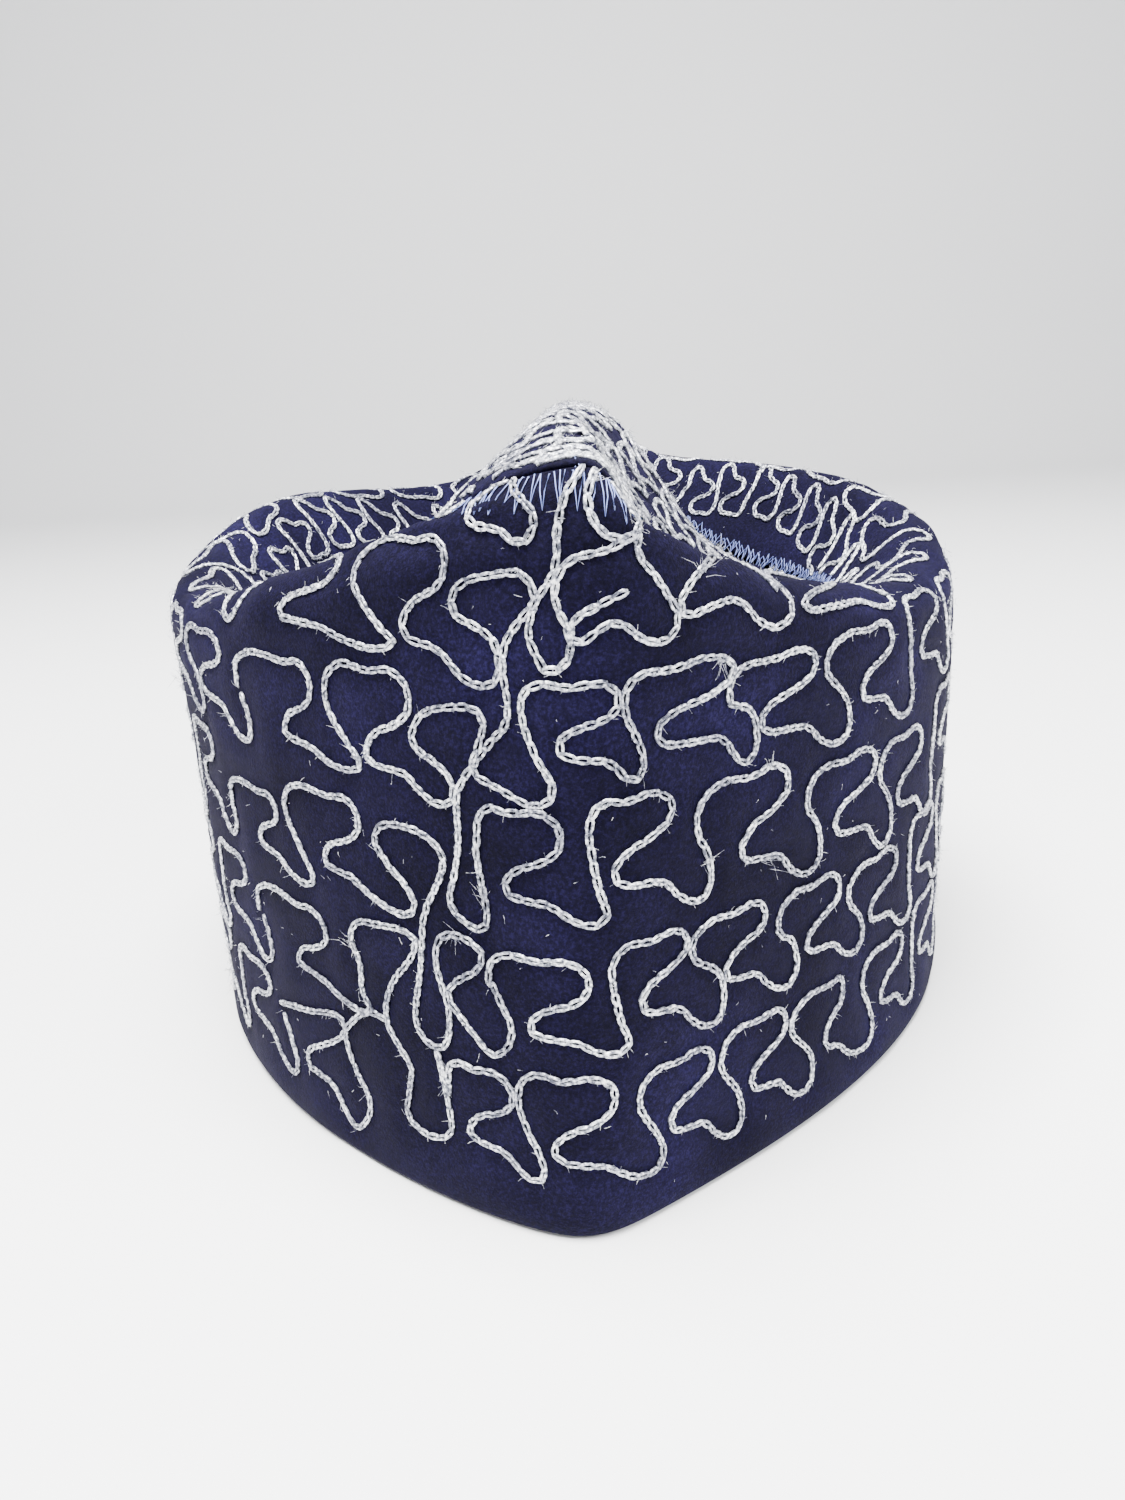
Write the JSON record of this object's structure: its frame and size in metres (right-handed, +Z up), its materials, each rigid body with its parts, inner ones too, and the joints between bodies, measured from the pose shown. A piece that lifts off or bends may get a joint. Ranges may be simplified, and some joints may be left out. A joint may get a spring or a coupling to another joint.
{
  "type": "minister cap",
  "caption": "Soft velvet cap with a pointed oval plan, an upright band folded in over its rim and a ridged crown, open below.",
  "frame": {"origin": "centre of the overall box, at the level of the hem that the cap stands on", "axes": "+Z up out of the crown, +Y from the front crease to the back crease, +X to the viewer's right when facing the front crease"},
  "size_m": [0.173, 0.216, 0.1311],
  "materials": {
    "band_velvet": "deep navy velvet, soft pile with a blue-violet sheen",
    "crown_velvet": "deep navy velvet, soft pile with a blue-violet sheen",
    "silver_thread": "silver-white metallic thread in chain stitch",
    "blue_thread": "fine pale blue sewing thread in zigzag stitch"
  },
  "bodies": {
    "root": {"band": "band_velvet", "crown": "crown_velvet"}
  },
  "joints": []
}
